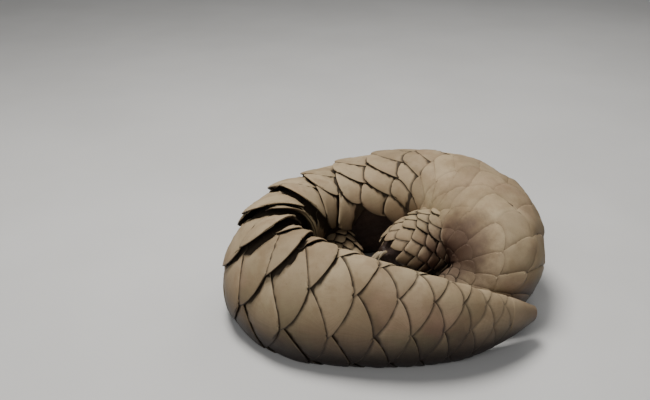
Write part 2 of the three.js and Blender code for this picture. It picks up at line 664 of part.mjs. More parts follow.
const whole = new Map();
for (const [name, from, to, columns] of NODES) {
  const fine = columns <= BROAD_COLUMNS;
  const pieces = [scaledSkin(body, phases, { from, to, columns, coatAt, isBare, open: 4, fine })];
  pieces.push(...standingScales(from, to, columns));
  if (name === "head") pieces.push(...face.flatMap((half) => half.raised));
  let solid = union(pieces);
  whole.set(name, solid);
  if (name === "head") for (const part of face.flatMap((half) => half.cut)) solid = solid.subtract(part);
  if (from > 0) solid = solid.subtract(beyond(body, from, -1));
  if (to < body.last) solid = solid.subtract(beyond(body, to, 1));
  solids.set(name, largest(solid.subtract(floor)));
}
// Each leg comes out of the body with a gap round it.
const hosts = union(["neck", "shoulder", "chest", "loin", "rump", "tail_root"].map((name) => whole.get(name)));
for (const { name, leg, foot, outwards } of limbs) {
  const moved = hosts.translate(outwards.clone().multiplyScalar(1.6 * GAP).toArray());
  solids.set(`leg_${name}`, largest(leg.subtract(hosts).subtract(moved).subtract(floor)));
  solids.set(`foot_${name}`, largest(foot.subtract(floor)));
}

// The finished mesh of a node.
function meshOf(name, solid) {
  const made = solid.getMesh();
  const position = new Float32Array(made.numVert * 3);
  for (let i = 0; i < made.numVert; i++) {
    position.set(made.vertProperties.subarray(i * made.numProp, i * made.numProp + 3), i * 3);
  }
  const geometry = new THREE.BufferGeometry();
  geometry.setAttribute("position", new THREE.BufferAttribute(position, 3));
  geometry.setIndex(new THREE.BufferAttribute(made.triVerts, 1));
  geometry.translate(-MIDDLE.x, -MIDDLE.y, 0);
  const mesh = new THREE.Mesh(geometry, new THREE.MeshStandardMaterial());
  mesh.name = name;
  return mesh;
}

const root = new THREE.Group();
for (const [name, solid] of solids) root.add(meshOf(name, solid));
export default root;
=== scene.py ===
"""A curled Indian pangolin, life size: one skin, horn scales, claws and eyes over the CAD frame."""

import functools
import math

import bpy
import numpy as np
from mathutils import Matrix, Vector


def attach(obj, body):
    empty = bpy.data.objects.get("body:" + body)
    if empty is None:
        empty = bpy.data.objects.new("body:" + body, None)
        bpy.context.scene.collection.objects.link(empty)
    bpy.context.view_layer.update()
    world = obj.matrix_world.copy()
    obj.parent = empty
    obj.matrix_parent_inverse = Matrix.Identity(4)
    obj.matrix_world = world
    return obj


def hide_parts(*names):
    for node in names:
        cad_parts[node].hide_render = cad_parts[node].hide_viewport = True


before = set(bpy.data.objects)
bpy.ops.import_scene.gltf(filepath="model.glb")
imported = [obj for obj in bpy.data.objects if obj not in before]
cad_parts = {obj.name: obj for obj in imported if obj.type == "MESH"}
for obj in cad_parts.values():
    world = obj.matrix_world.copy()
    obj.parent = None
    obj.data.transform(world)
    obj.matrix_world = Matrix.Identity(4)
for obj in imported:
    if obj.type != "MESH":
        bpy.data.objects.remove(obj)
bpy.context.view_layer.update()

MM = 0.001
MIDDLE = (2.11, 19.95)  # middle of the outline in the stations' frame, as in the solids
SINK = 1.5  # millimetres by which the resting sections reach under the floor
FLOOR_GAP = 0.15  # millimetres between the floor and the lowest points
UP = np.array([0.0, 0.0, 1.0])

# name: x, y, z of the section's middle, half width across, depth towards back and belly, roll, rest.
BODY = {
    "nose": (5, -56, 15, 10, 9, 8, 66, 0.6),
    "muzzle": (29, -58, 20, 17, 17, 13, 66, 0.9),
    "brow": (56, -60, 28, 27, 27, 21, 64, 1),
    "nape": (85, -60, 40, 35, 35, 28, 58, 1),
    "neck": (118, -52, 56, 46, 45, 36, 48, 1),
    "shoulder": (139, -22, 76, 72, 72, 62, 44, 1),
    "chest": (140, 46, 88, 84, 82, 74, 44, 1),
    "back": (108, 104, 94, 84, 80, 68, 42, 1),
    "loin": (50, 136, 92, 79, 74, 58, 40, 1),
    "hip": (-22, 132, 85, 75, 68, 52, 38, 1),
    "rump": (-92, 102, 80, 75, 60, 46, 34, 1),
    "tail_root": (-146, 44, 79, 79, 52, 40, 30, 1),
    "tail_bend": (-163, -34, 72, 75, 46, 34, 26, 1),
    "tail_fore": (-120, -100, 71, 76, 41, 28, 18, 1),
    "tail_mid": (-50, -131, 72, 73, 36, 24, 6, 1),
    "tail_aft": (22, -141, 68, 64, 32, 21, -4, 1),
    "tail_end": (90, -134, 57, 51, 26, 17, -8, 0.8),
    "tail_point": (146, -114, 47, 33, 18, 12, -8, 0),
    "tail_tip": (184, -94, 42, 12, 8, 6, -8, 0),
}
# name: row pitch, column step, twist of the columns, limit from the back's midline, tilt of the tips,
# flare of the upper ones, relief, slant of the rows towards the head down both flanks, in rows.
COAT = {
    "nose": (12, 22, 0, 60, 0, 0, 0.8, 0),
    "muzzle": (13, 22, 0, 62, 0, 0, 0.8, 0),
    "brow": (15, 21, 0, 66, 4, 0, 0.8, 0),
    "nape": (20, 20, 0, 84, 8, 0, 0.8, 0),
    "neck": (22.5, 20, 0, 104, 12, 0, 0.7, 0),
    "shoulder": (40, 22, 0, 120, 14, 0, 0.35, 0.1),
    "chest": (52, 22.5, 0, 160, 18, 0, 0.3, 0.5),
    "back": (54, 22.5, 0, 160, 24, 0.01, 0.6, 1.0),
    "loin": (60, 22.5, 0, 160, 30, 0.05, 1, 1.4),
    "hip": (60, 22.5, 0, 146, 30, 0.07, 1, 1.4),
    "rump": (58, 25, 0, 148, 26, 0.09, 1, 1.2),
    "tail_root": (54, 34, -10, 180, 16, 0.14, 1, 0.5),
    "tail_bend": (56, 42, -22, 220, 8, 0.16, 1, 0),
    "tail_fore": (50, 45, -22, 220, 2, 0.05, 0.85, 0),
    "tail_mid": (49, 44, -13, 220, 0, 0, 0.8, 0),
    "tail_aft": (36.5, 43, 0, 220, 0, 0, 0.7, 0),
    "tail_end": (29.5, 44, 12, 220, 0, 0, 0.5, 0),
    "tail_point": (27, 45, 14, 220, 0, 0, 0.3, 0),
    "tail_tip": (24, 45, 14, 220, 0, 0, 0.2, 0),
}
PLACE_KEYS = ("x", "y", "z", "side", "back", "belly", "roll", "rest")
COAT_KEYS = ("pitch", "step", "twist", "limit", "tilt", "flare", "relief", "slant")
# Legs: roll, then x, y, z and half thickness from inside the body to the end of the foot.
LIMBS = {
    "fore_r": (60, [
        (112, 42, 84, 38), (77, 30, 86, 40), (46, 15, 83, 38), (20, 2, 82, 30), (-1, -6, 79, 16),
    ]),
    "fore_l": (-40, [
        (104, 22, 31, 20), (74, 16, 24, 18), (44, 10, 21, 16), (22, 6, 19, 15), (6, 4, 17, 14),
    ]),
    "hind_r": (50, [
        (-84, 84, 54, 27), (-62, 50, 47, 24), (-52, 18, 38, 21), (-47, -10, 30, 18), (-42, -30, 23, 15),
    ]),
    "hind_l": (-50, [
        (-118, 78, 32, 22), (-106, 46, 23, 17), (-94, 16, 21, 17), (-84, -10, 18, 15), (-74, -28, 15, 13),
    ]),
}
LIMB_COAT = (24, 18, 0, 220, 12, 0.05, 1.25, 0.2)  # in the order of COAT_KEYS
# Claws: length, droop of the tips as a share of it, spread sideways.
CLAWS = {
    "fore_r": (34, 0.9, 0.5),
    "fore_l": (34, 0.35, 0.5),
    "hind_r": (20, 0.5, 0.6),
    "hind_l": (20, 0.3, 0.6),
}


def unit(v):
    return v / np.linalg.norm(v, axis=-1, keepdims=True)


class Tube:
    """A body of oval sections: u counts the stations, the angle runs from the midline of the back."""

    SAMPLES = 240  # places between two stations at which the values are kept
    PAST_ENDS = 0.3  # stations by which they run on past both ends

    def __init__(self, rows, coat):
        self.rows = np.array(rows, float)
        self.coat_rows = np.array(coat, float)
        self.last = len(rows) - 1
        self.us = np.linspace(-self.PAST_ENDS, self.last + self.PAST_ENDS, self.SAMPLES * self.last + 1)
        values = self.blend(self.rows, self.us)
        self.values = dict(zip(PLACE_KEYS, values.T))
        middle = values[:, :3]
        run = np.gradient(middle, self.us, axis=0)
        self.speed = np.linalg.norm(run, axis=1)
        tailwards = unit(run)
        outwards = unit(np.cross(tailwards, UP))
        upwards = np.cross(outwards, tailwards)
        roll = np.radians(self.values["roll"])[:, None]
        self.middle = middle
        self.tailwards = tailwards
        self.back = outwards * np.cos(roll) + upwards * np.sin(roll)
        self.side = upwards * np.cos(roll) - outwards * np.sin(roll)
        # The lower half of a resting section is drawn down to the floor, or pressed up to it.
        drop = np.hypot(self.back[:, 2] * self.values["belly"], self.side[:, 2] * self.values["side"])
        self.sag = 1 + self.values["rest"] * ((self.values["z"] + SINK) / drop - 1)
        coat = self.blend(self.coat_rows, self.us)
        self.coat_values = dict(zip(COAT_KEYS, coat.T))
        steps = np.diff(self.us) * 0.5 * (self.speed[1:] / coat[1:, 0] + self.speed[:-1] / coat[:-1, 0])
        phase = np.concatenate([[0], np.cumsum(steps)])
        self.phases = phase - np.interp(0, self.us, phase)

    @staticmethod
    def blend(rows, u):
        """Values between the stations, on a smooth curve through them."""
        i = np.clip(np.floor(u).astype(int), 0, len(rows) - 2)
        f = (u - i)[:, None]
        p0, p1, p2, p3 = (rows[np.clip(i + k, 0, len(rows) - 1)] for k in (-1, 0, 1, 2))
        cubic = (2 * p0 - 5 * p1 + 4 * p2 - p3) * f**2 + (3 * p1 - p0 - 3 * p2 + p3) * f**3
        return 0.5 * (2 * p1 + (p2 - p0) * f + cubic)

    def pick(self, table, u):
        if table.ndim == 1:
            return np.interp(u, self.us, table)
        return np.stack([np.interp(u, self.us, column) for column in table.T], axis=-1)

    def coat(self, key, u):
        return np.interp(u, self.us, self.coat_values[key])

    def column_angle(self, column, u):
        return np.radians(column * self.coat("step", u) + self.coat("twist", u))

    def slanted(self, phase, angle):
        """Phase at which a scale of a row lies, since the rows slant down the flanks."""
        return phase - self.coat("slant", self.place_of(phase)) * (1 - np.cos(angle)) / 2

    def phase_at(self, u):
        """How many rows of scales lie between the first station and u."""
        return np.interp(u, self.us, self.phases)

    def place_of(self, phase):
        return np.interp(phase, self.phases, self.us)

    def skin(self, u, angle, height=0.0):
        """Points at a height over the skin, in the stations' frame, in millimetres."""
        u, angle, height = np.broadcast_arrays(u, angle, np.asarray(height, float))
        c, s = np.cos(angle), np.sin(angle)
        side = self.pick(self.values["side"], u)
        depth = np.where(c > 0, self.pick(self.values["back"], u), self.pick(self.values["belly"], u))
        nx, ny = c / depth, s / side
        size = np.hypot(nx, ny)
        nx, ny = nx / size, ny / size
        middle = self.pick(self.middle, u)
        point = middle + self.pick(self.back, u) * (depth * c + nx * height)[..., None]
        point = point + self.pick(self.side, u) * (side * s + ny * height)[..., None]
        below = point[..., 2] < middle[..., 2]
        drawn = middle[..., 2] + (point[..., 2] - middle[..., 2]) * self.pick(self.sag, u)
        point[..., 2] = np.where(below, drawn, point[..., 2])
        return point

    def stretch(self, u, angle):
        """Millimetres of skin per station along the tube, and per radian around it."""
        e = 0.03
        along = np.linalg.norm(self.skin(u + e, angle) - self.skin(u - e, angle), axis=-1) / (2 * e)
        around = np.linalg.norm(self.skin(u, angle + e) - self.skin(u, angle - e), axis=-1) / (2 * e)
        return along, around

    def axes_at(self, u):
        """Middle of a section and its directions towards the tail, the side and the back."""
        return tuple(self.pick(table, u) for table in (self.middle, self.tailwards, self.side, self.back))


body = Tube(list(BODY.values()), list(COAT.values()))
limbs = {}
for name, (roll, stations) in LIMBS.items():
    rows = [(x, y, z, size, size, size, roll, 0) for x, y, z, size in stations]
    limbs[name] = Tube(rows, [LIMB_COAT] * len(rows))


def to_metres(points):
    """Points of the stations' frame in the frame of the solids."""
    moved = np.array(points, float)
    moved[..., 0] -= MIDDLE[0]
    moved[..., 1] -= MIDDLE[1]
    moved[..., 2] = np.maximum(moved[..., 2], FLOOR_GAP)
    return moved * MM


def lattice_noise(points, scale, seed):
    """Smooth value noise in -1..1 at points, with features about scale across."""
    p = np.asarray(points, float) / scale
    cell = np.floor(p).astype(np.int64)
    f = p - cell
    f = f * f * (3 - 2 * f)
    total = np.zeros(p.shape[:-1])
    for corner in range(8):
        shift = np.array([corner & 1, corner >> 1 & 1, corner >> 2 & 1])
        c = cell + shift
        # Large odd numbers mix the cell's place and the seed into a value without a pattern.
        mixed = (c[..., 0] * 73856093) ^ (c[..., 1] * 19349663) ^ (c[..., 2] * 83492791) ^ (seed * 2654435761)
        mixed = (mixed ^ (mixed >> 13)) * 1274126177
        value = ((mixed ^ (mixed >> 16)) & 0xFFFF) / 32767.5 - 1
        weight = np.prod(np.where(shift == 1, f, 1 - f), axis=-1)
        total += value * weight
    return total


def bulge(x, spread):
    """A soft ridge of height 1 where x is 0."""
    return np.exp(-(x**2) / spread)


def smooth(low, high, x):
    """Rises softly from 0 at low to 1 at high, or falls where low is the larger."""
    t = np.clip((x - low) / (high - low), 0, 1)
    return t * t * (3 - 2 * t)


def make_mesh(name, points, quads, uv, attributes=None, replaces=()):
    """A smooth-shaded mesh of four-sided faces that rides on the body, from points in metres."""
    mesh = bpy.data.meshes.new(name)
    loops = quads.ravel().astype(np.int32)
    mesh.vertices.add(len(points))
    mesh.vertices.foreach_set("co", points.astype(np.float32).ravel())
    mesh.loops.add(len(loops))
    mesh.loops.foreach_set("vertex_index", loops)
    mesh.polygons.add(len(quads))
    mesh.polygons.foreach_set("loop_start", np.arange(0, len(loops), 4, dtype=np.int32))
    mesh.polygons.foreach_set("loop_total", np.full(len(quads), 4, np.int32))
    mesh.polygons.foreach_set("use_smooth", np.ones(len(quads), bool))
    mesh.update(calc_edges=True)
    layer = mesh.uv_layers.new(name="OFBake")
    layer.data.foreach_set("uv", uv.astype(np.float32)[loops].ravel())
    for key, values in (attributes or {}).items():
        attribute = mesh.attributes.new(key, "FLOAT", "POINT")
        attribute.data.foreach_set("value", values.astype(np.float32))
    mesh.validate()
    piece = bpy.data.objects.new(name, mesh)
    bpy.context.scene.collection.objects.link(piece)
    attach(piece, "root")
    if replaces:
        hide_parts(*replaces)
    return piece


def grid_faces(rows, columns, wrap=False, start=0):
    """Quads of a grid whose points run row by row."""
    i, j = np.meshgrid(np.arange(rows - 1), np.arange(columns if wrap else columns - 1), indexing="ij")
    k = (j + 1) % columns
    this_row, next_row = i * columns, (i + 1) * columns
    quads = np.stack([this_row + j, next_row + j, next_row + k, this_row + k], axis=-1)
    return quads.reshape(-1, 4) + start


def chart(rows, columns, low_u, low_v, wide, high):
    """Places of a grid's points in a rectangle of the bake map."""
    v, u = np.meshgrid(np.linspace(0, 1, rows), np.linspace(0, 1, columns), indexing="ij")
    return np.stack([low_u + wide * v, low_v + high * u], -1).reshape(-1, 2)


# Scales

LENGTH = 1.62  # in row pitches
TIP_AHEAD = 0.1  # in rows
ALONG, ACROSS = 22, 13  # points of a scale's grid
TIP_ROWS = 8  # rows of the grid that crowd at the tip
SPREAD = 1.09  # how far a free edge runs on past the tips of its neighbours
THICK = 2.9  # millimetres, less towards the edges and where the scales are worn
LEAST_THICK = 0.2  # millimetres that every scale has besides
STACK = 4.9  # millimetres by which a full scale rises over one row
FLARE = 1.7  # times the flare of the solids, whose plates are fewer
HANG = 0.13  # rise of the last plates of the trunk, which hang clear of the belly
HANG_BETWEEN = (7, 10)  # stations
HANG_FROM = (1.95, 2.4)  # radians from the back over which it sets in
STEEPEST = 0.5  # rise of a scale over its length
FULL_PITCH = 30  # millimetres: smaller scales are thinner in proportion
LEAST_HALF = 5.0  # millimetres
LEAST_SHRINK = 0.35  # of the row pitch on the inner side of a bend
PRESS = 0.6  # millimetres that a covered point goes down, per millimetre under the other scale
PRESS_MOST = 5
WORN = 0.88  # share of the relief that dust and wear take away over the shoulders
WORN_FROM, WORN_TO = (2.9, 3.8), (6.9, 7.4)  # stations over which that comes and goes
DOME_LIFT = 5.0  # millimetres by which the worn shoulders bulge over the flank
DOME_FROM, DOME_TO = (4.6, 6.2), (6.95, 7.15)  # stations over which the bulge comes and goes
DOME_TOP, DOME_FOOT = (0.5, 1.0), (2.2, 2.7)  # radians from the back over which it comes and goes
LUMPS = ((2.3, 24, 9), (1.2, 10, 10))  # height, width and seed of the lumps on the dome
LUMPS_FROM, LUMPS_TO = (4.2, 5), (6.9, 7.6)  # stations
# What varies by chance from scale to scale, in the order of the draws.
CHANCES = ("width", "length", "shift", "turn", "slope", "nick", "seed")
BODY_TURN, LIMB_TURN = 0.05, 0.14  # radians, at the most


def relief_at(tube, u):
    """How far the scales stand up. Dust and wear have levelled those over the shoulders."""
    relief = float(tube.coat("relief", u)) ** 1.6
    if tube is body:
        relief *= 1 - WORN * float(smooth(*WORN_FROM, u) * smooth(*WORN_TO[::-1], u))
    return relief


def dome_lift(u, angle):
    """Height of the shoulders' bulge."""
    return DOME_LIFT * smooth(*DOME_FROM, u) * smooth(*DOME_TOP, angle) * smooth(*DOME_FOOT[::-1], angle)


def outline(t, widest):
    """Share of the half width, from the root at 0 over the widest place to the rounded tip at 1."""
    root = 0.7 + 0.3 * np.sin(np.clip(t / widest, 0, 1) * math.pi / 2)
    s = np.clip((t - widest) / (1 - widest), 0, 1)
    point = 0.5 * np.sqrt(np.clip(1 - s**2, 0, 1)) + 0.5 * (1 - s**1.15)
    return np.where(t < widest, root, point)


def tip_of(tube, phase, column):
    """Phase along the tube at which the scale of a row and a column ends."""
    centre = float(tube.place_of(phase - 0.7))
    return float(tube.slanted(phase, tube.column_angle(column, centre))) + TIP_AHEAD


class Scale:
    """One horn scale: its place in the rows and columns of a tube, its outline and its height."""

    def __init__(self, tube, phase, column):
        self.tube, self.phase, self.column = tube, phase, column
        draws = np.random.default_rng([int(tube.last), int(2 * phase), column + 20])
        self.chance = dict(zip(CHANCES, draws.uniform(-1, 1, len(CHANCES))))
        self.tip = tip_of(tube, phase, column)
        self.centre = float(tube.place_of(self.tip - 0.5 * LENGTH))
        self.angle = float(tube.column_angle(column, self.centre))
        self.pitch = self.coat("pitch")
        self.relief = relief_at(tube, self.centre)
        self.size = min(1.0, self.pitch / FULL_PITCH)
        along, around = (float(v) for v in tube.stretch(self.centre, self.angle))
        self.row = self.pitch * max(along / float(tube.pick(tube.speed, self.centre)), LEAST_SHRINK)
        self.half = max(around * math.radians(self.coat("step")), LEAST_HALF)
        self.length = LENGTH * max(self.row, (self.tip - tip_of(tube, phase - 1, column)) * self.row)
        most = BODY_TURN if tube is body else LIMB_TURN
        self.turn = math.radians(self.coat("tilt")) * math.sin(self.angle) + most * self.chance["turn"]

    def coat(self, key):
        return float(self.tube.coat(key, self.centre))

    def corner(self, hand):
        """Millimetres from the tip back and out to the neighbour's tip on one hand."""
        cosine, sine = math.cos(self.turn), math.sin(self.turn)
        headwards = (self.tip - tip_of(self.tube, self.phase - 0.5, self.column + hand)) * self.row
        back = headwards * cosine - hand * self.half * sine
        wide = hand * headwards * sine + self.half * cosine
        return min(max(back, 0.2 * self.length), 0.5 * self.length), max(wide, 0.5 * self.half)

    def on_skin(self, t, q):
        """Stations and angles of the scale's points. It is turned on the skin, so that its tip points
        towards the belly on the flanks, and its two free edges run to the tips of its neighbours."""
        cosine, sine = math.cos(self.turn), math.sin(self.turn)
        right, left = self.corner(1), self.corner(-1)
        back = np.where(q > 0, right[0], left[0])
        wide = np.where(q > 0, right[1], left[1])
        widest = 1 - SPREAD * back / self.length
        across = q * SPREAD * wide * outline(t, widest) * (1 + 0.05 * self.chance["width"])
        ragged = np.stack([q * 2 + 9 * self.chance["nick"], t * 0, t * 0], -1)
        nick = 0.012 * lattice_noise(ragged, 0.3, 3) * smooth(0.8, 1, t)
        behind = self.length * (1 - t - nick) * (1 + 0.03 * self.chance["length"])
        phase = self.tip - (behind * cosine + across * sine) / self.row + 0.03 * self.chance["shift"]
        u = self.tube.place_of(phase)
        aside = (across * cosine - behind * sine) / self.half
        return u, self.tube.column_angle(self.column + aside, u)

    def rise(self):
        """Slope of the scale over the skin, from its root to its tip."""
        flare = FLARE * self.coat("flare") * max(math.sin(self.angle), 0) ** 2
        if self.tube is body and HANG_BETWEEN[0] < self.centre < HANG_BETWEEN[1]:
            flare += HANG * self.relief * float(smooth(*HANG_FROM, self.angle))
        slope = min(self.size * self.relief * STACK / self.row + flare, STEEPEST)
        return slope * (1 + 0.12 * self.chance["slope"])

    def heights(self, t, q, u, theta):
        """Height of the top over the skin, and thickness."""
        relief, size = self.relief, self.size
        # It arches across, its tip curls down and its edges are thin.
        crown = 1.1 * size * relief * (1 - q**2) * np.sin(np.clip(t, 0, 1) * math.pi * 0.85)
        curl = -0.8 * size * relief * smooth(0.75, 1, t) ** 2
        edge = np.minimum(1 - np.abs(q) ** 6, 1 - smooth(0.93, 1, t) * 0.55)
        ramp = self.rise() * max(self.length, 0.8 * self.pitch) * t
        top = ramp - size * (0.5 + 1.1 * relief) + crown + curl
        # Where the scales before it stand up less, it starts deeper, so that it stays under them.
        flatter = relief_at(self.tube, float(self.tube.place_of(self.tip - 1 - 0.5 * LENGTH)))
        top = top - size * max(2.4 * relief - 3 * flatter, 0) * smooth(1, 0.4, t)
        if self.tube is body:
            top = top + dome_lift(u, theta) * smooth(*DOME_TO[::-1], self.centre)
            points = self.tube.skin(u, theta)
            lumps = sum(high * lattice_noise(points, wide, seed) for high, wide, seed in LUMPS)
            top = top + lumps * smooth(*LUMPS_FROM, u) * smooth(*LUMPS_TO[::-1], u)
        thick = size * THICK * (0.45 + 0.55 * edge) * (1.25 - 0.35 * t) * (0.15 + 0.85 * min(relief, 1))
        thick = thick + size * LEAST_THICK
        # Levelled scales are soft cushions whose rims dip into each other.
        dip = 0.15 + 0.3 * min(relief, 1) + 0.65 * max(1 - 4 * relief, 0)
        return top - size * dip * (1 - edge), thick


@functools.lru_cache(maxsize=None)
def scale_points(tube, phase, column):
    """Top and under side of one scale, as grids of points, with its values for the material."""
    t = np.concatenate([np.linspace(0, 0.8, ALONG - TIP_ROWS), np.linspace(0.83, 0.9965, TIP_ROWS)])
    q = np.sin(np.linspace(-1, 1, ACROSS) * math.pi / 2)
    t, q = np.meshgrid(t, q, indexing="ij")
    scale = Scale(tube, phase, column)
    u, theta = scale.on_skin(t, q)
    top, thick = scale.heights(t, q, u, theta)
    everywhere = np.ones(t.shape)
    values = {"along": t, "across": q, "relief": scale.relief * everywhere}
    values["seed"] = (0.5 + 0.5 * scale.chance["seed"]) * everywhere
    return tube.skin(u, theta, top), tube.skin(u, theta, top - thick), values


def free_edge(upper):
    """Points along the free edge of a scale, close together, and the way out of the scale there."""
    first, tip = ALONG // 3, ALONG - 1
    edge = np.concatenate([upper[first:, 0], upper[tip, 1:-1], upper[: first - 1 : -1, -1]])
    down, up = np.arange(first, tip + 1), np.arange(tip, first - 1, -1)
    rows = np.concatenate([down, np.full(ACROSS - 2, tip), up])
    inner = upper[np.maximum(rows - 6, 0), ACROSS // 2]
    knots, places = np.arange(len(edge)), np.linspace(0, len(edge) - 1, 3 * len(edge))
    edge = np.stack([np.interp(places, knots, part) for part in edge.T], axis=-1)
    inner = np.stack([np.interp(places, knots, part) for part in inner.T], axis=-1)
    return edge, unit(edge - inner)


def beyond_edge(points, edge, out):
    """Distance of points from an edge, less than nothing for points inside it."""
    off = points[:, None] - edge[None]
    far = np.linalg.norm(off, axis=-1)
    nearest = far.argmin(axis=1)
    every = np.arange(len(points))
    side = np.where((off[every, nearest] * out[nearest]).sum(-1) < 0, -1, 1)
    return far[every, nearest] * side


def scale_faces():
    """Quads of one scale: its top, its under side and the wall along its sides and tip."""
    top = grid_faces(ALONG, ACROSS)
    under = top[:, ::-1] + ALONG * ACROSS
    rim = [i * ACROSS for i in range(ALONG)]
    rim += [(ALONG - 1) * ACROSS + j for j in range(1, ACROSS)]
    rim += [i * ACROSS + ACROSS - 1 for i in range(ALONG - 2, -1, -1)]
    rim = np.array(rim)
    lower_rim = rim + ALONG * ACROSS
    wall = np.stack([rim[:-1], lower_rim[:-1], lower_rim[1:], rim[1:]], axis=-1)
    return np.concatenate([top, under, wall])


def scale_piece(name, tube, spots):
    """One joined mesh of scales. Each scale has a cell of its own in the bake map."""
    cells = math.ceil(math.sqrt(len(spots)))
    pattern = scale_faces()
    points, faces, uv = [], [], []
    collected = {key: [] for key in ("along", "across", "beyond", "rim", "relief", "seed")}
    for k, (phase, column) in enumerate(spots):
        upper, lower, values = scale_points(tube, phase, column)
        # How far each point is from the edges of the scales that lie on this one, and from its own edge.
        flat = upper.reshape(-1, 3)
        above = [(phase - 0.5, column - 1), (phase - 0.5, column + 1), (phase - 1, column)]
        edges = [free_edge(scale_points(tube, *spot)[0]) for spot in above]
        beyond = np.min([beyond_edge(flat, *edge) for edge in edges], axis=0)
        rim = np.abs(beyond_edge(flat, *free_edge(upper)))
        values = {**values, "beyond": beyond, "rim": rim}
        # What lies under those scales is pressed down, so that it doesn't come through them.
        deep = np.clip(-PRESS * beyond.reshape(ALONG, ACROSS, 1), 0, PRESS_MOST)
        sink = unit(upper - lower) * deep
        points += [(upper - sink).reshape(-1, 3), (lower - sink).reshape(-1, 3)]
        faces.append(pattern + 2 * ALONG * ACROSS * k)
        cell_u = (k % cells + 0.5 + 0.44 * values["across"]).ravel() / cells
        cell_v = (k // cells + 0.06 + 0.88 * values["along"]).ravel() / cells
        uv += [np.stack([cell_u, cell_v], -1)] * 2
        for key, parts in collected.items():
            parts += [values[key].ravel()] * 2
    collected = {key: np.concatenate(parts) for key, parts in collected.items()}
    points, faces, uv = (np.concatenate(parts) for parts in (points, faces, uv))
    return make_mesh(name, to_metres(points), faces, uv, collected)


# Eyes and ears: station and angle, the bare skin around them, and the eyeball's radius, how deep it is
# sunk and how many times longer than high its lids are.
EYE = {"u": 1.42, "angle": math.radians(66), "radius": 4.2, "sunk": 1.4, "longer": 1.18, "clear": 11}
EAR = {"u": 2.42, "angle": math.radians(80), "clear": 13}
MOUTH_ANGLE, MOUTH_BETWEEN = math.radians(126), (0.02, 0.98)  # from the back, and stations
FACE_FROM, FACE_TO = 0.75, 3  # stations between which the scales leave room for eyes and ears
COLUMNS = range(-9, 11)  # of scales, counted round the body from the midline of the back
SEAM = (-172, 181)  # degrees: no scale crosses the midline of the belly
# Stretches of body that one piece of scales covers each: name, station of its first and its last tips.
STRETCHES = [
    ("head", 0.8, 3),
    ("neck", 3, 4.6),
    ("shoulder", 4.6, 5.9),
    ("chest", 5.9, 7),
    ("trunk", 7, 8.2),
    ("loin", 8.2, 9.4),
    ("rump", 9.4, 10.9),
    ("tail_root", 10.9, 12.2),
    ("tail_fore", 12.2, 13.8),
    ("tail_mid", 13.8, 15.4),
    ("tail_end", 15.4, 17.3),
]
LIMB_STRETCH = (0.7, 4.1)


def beside(spot, hand, height=0.0, shift=0.0):
    """Point on the right or the left side of the head."""
    return body.skin(spot["u"] + shift, hand * spot["angle"], height)


def clear_of_face(u, angle):
    """Whether a scale can grow here: not on the nose, and not close to an eye or an ear."""
    if u <= FACE_FROM:
        return False
    if u > FACE_TO:
        return True
    point = body.skin(u, angle)
    spots = [(spot, hand) for spot in (EYE, EAR) for hand in (1, -1)]
    return all(np.linalg.norm(point - beside(spot, hand)) >= spot["clear"] for spot, hand in spots)


def spots_between(tube, low, high):
    """Rows and columns of the scales whose tips lie in a stretch of a tube, where it has scales."""
    spots = []
    for row in range(0, int(tube.phases[-1]) + 2):
        for column in COLUMNS:
            phase = row + 0.5 * (column % 2)
            if not tube.phase_at(low) <= phase < tube.phase_at(high):
                continue
            centre = float(tube.place_of(phase - 0.5))
            angle = float(tube.column_angle(column, centre))
            if not SEAM[0] < column * float(tube.coat("step", centre)) < SEAM[1]:
                continue
            if abs(angle) > math.radians(float(tube.coat("limit", centre))):
                continue
            if tube is not body or clear_of_face(centre, angle):
                spots.append((phase, column))
    return spots


# Smooth tubes

CAP_FROM = 16.9  # station at which the tail's cap of smooth horn starts
CAP_HEIGHT = 0.6  # millimetres
CAP_RINGS, CAP_ROUND = 30, 64
FACE_END = 3.2  # station up to which the skin's rings lie close together
DENSE_RINGS, SPARSE_RINGS = 190, 250
LIMB_RINGS = 90
SKIN_ROUND, LIMB_ROUND = 150, 48
NOSE_REACH = 6.5  # millimetres by which the rounded nose runs on past the first station
END_SHARES = np.sin(np.linspace(0, 1, 9)[1:] * math.pi / 2 * 0.995)  # rings of a rounded end


def closed_tube(tube, us, round_count, height, front, end):
    """Rings of points along a tube with rounded ends that reach front and end millimetres further."""
    angles = np.linspace(0, 2 * math.pi, round_count, endpoint=False)
    u, angle = np.meshgrid(us, angles, indexing="ij")
    rings = tube.skin(u, angle, height(u, angle))
    caps = []
    for place, ring, reach in ((us[0], rings[0], -front), (us[-1], rings[-1], end)):
        middle, ahead = tube.axes_at(place)[:2]
        caps.append([middle + (ring - middle) * math.sqrt(1 - s * s) + ahead * reach * s for s in END_SHARES])
    return np.concatenate([caps[0][::-1], rings, caps[1]])


def tail_cap():
    """The smooth horn in which the tail ends."""
    us = np.linspace(CAP_FROM, body.last, CAP_RINGS)
    cap = closed_tube(body, us, CAP_ROUND, lambda u, angle: CAP_HEIGHT + 0 * u, 2, 4.5)
    plain = {"along": 0.9, "across": 0.0, "beyond": 30.0, "rim": 30.0, "relief": 0.3, "seed": 0.7}
    plain = {key: np.full(len(cap) * CAP_ROUND, value) for key, value in plain.items()}
    faces = grid_faces(len(cap), CAP_ROUND, wrap=True)
    uv = chart(len(cap), CAP_ROUND, 0.01, 0.01, 0.98, 0.98)
    return make_mesh("tail_cap", to_metres(cap.reshape(-1, 3)), faces, uv, plain)


